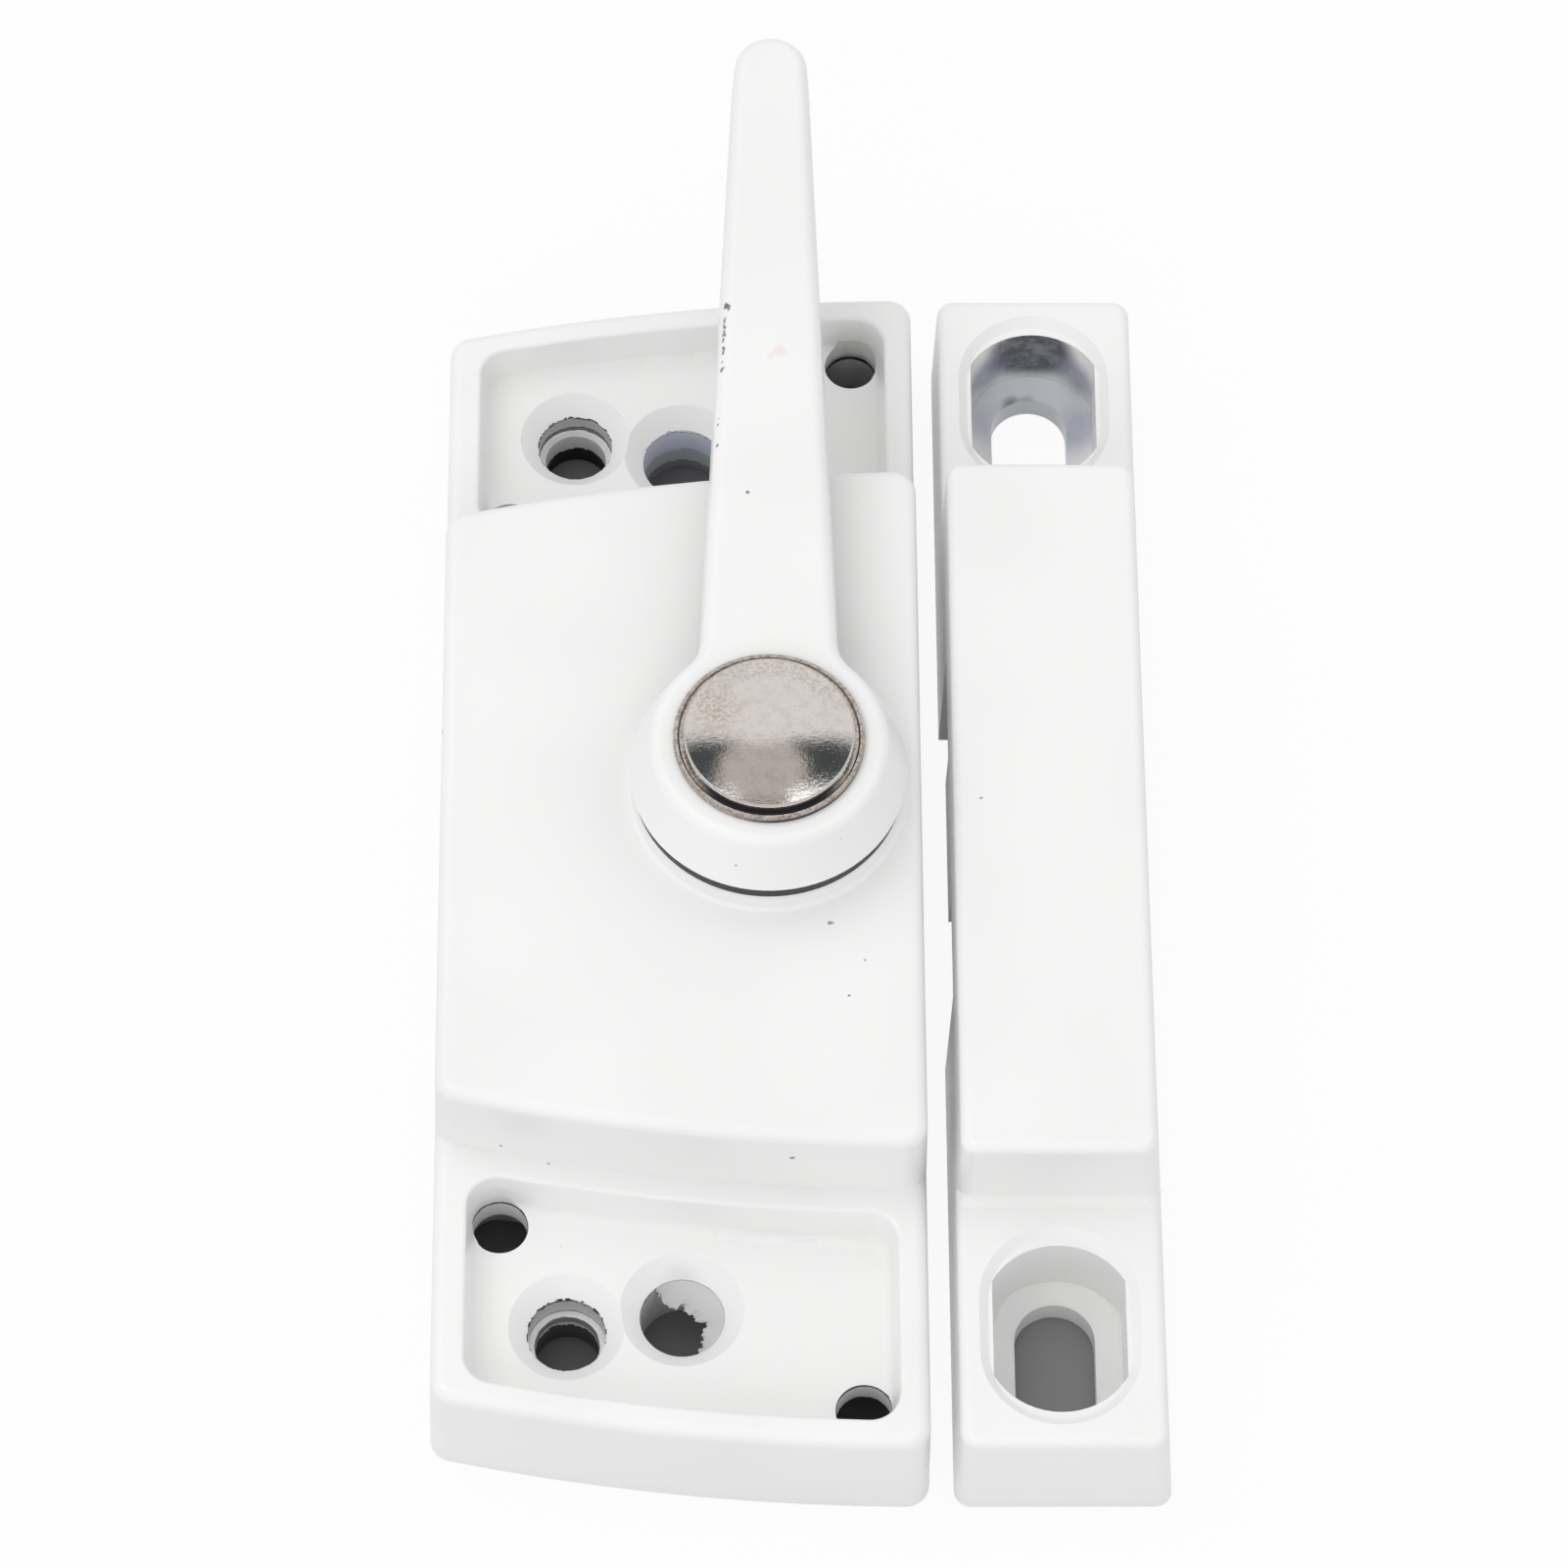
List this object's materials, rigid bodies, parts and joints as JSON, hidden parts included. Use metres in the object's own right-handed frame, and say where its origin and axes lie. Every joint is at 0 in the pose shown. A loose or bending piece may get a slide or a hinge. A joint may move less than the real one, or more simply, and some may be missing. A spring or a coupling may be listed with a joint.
{
  "type": "sliding window lock",
  "caption": "White surface-mounted lock for sliding windows: a lever turns a hook cam out of the lock body into a slotted keeper beside it.",
  "frame": {"origin": "centre of the lock body's mounting plane, on the line midway between its two ends", "axes": "+Z away from the sash, +Y up along the lock body towards the lever's tip at rest, +X towards the keeper"},
  "size_m": [0.0546, 0.1148, 0.027],
  "materials": {
    "white_paint": "semi-gloss white enamel on cast zinc",
    "white_paint_keeper": "semi-gloss white enamel on cast zinc",
    "white_paint_lever": "semi-gloss white enamel on cast zinc, chipped along one edge",
    "zinc_plated_sheet": "zinc-plated sheet steel",
    "zinc_plated_cam": "zinc-plated steel, rubbed bright on the rim",
    "zinc_plated_screw": "zinc-plated steel",
    "bronze": "sintered bronze",
    "black_nylon": "black nylon",
    "spring_steel": "hardened spring steel",
    "ground_steel": "ground steel",
    "nickel_head": "worn nickel plate with tool marks and light tarnish",
    "nickel_ring": "scratched nickel plate"
  },
  "bodies": {
    "lock_body": {"lock_case": "white_paint", "back_plate": "zinc_plated_sheet", "back_plate_screw_1": "zinc_plated_screw", "back_plate_screw_2": "zinc_plated_screw", "back_plate_screw_3": "zinc_plated_screw", "back_plate_screw_4": "zinc_plated_screw", "bearing_bush": "bronze", "friction_washer": "black_nylon", "thrust_washer": "spring_steel", "stop_pin_1": "ground_steel", "stop_pin_2": "ground_steel", "detent_spring": "spring_steel", "keeper": "white_paint_keeper"},
    "lever_group": {"lever_handle": "white_paint_lever", "spindle": "nickel_head", "cup_washer": "nickel_ring", "hook_cam": "zinc_plated_cam", "cam_washer": "ground_steel", "disc_spring": "spring_steel", "retaining_clip": "spring_steel"}
  },
  "joints": [
    {"name": "lever_turn", "type": "hinge", "parent": "lock_body", "child": "lever_group", "pos_m": [0.0065, 0.0006, 0.0195], "axis": [0, 0, 1], "range_deg": [0, 180], "deforming": ["detent_spring"]}
  ]
}
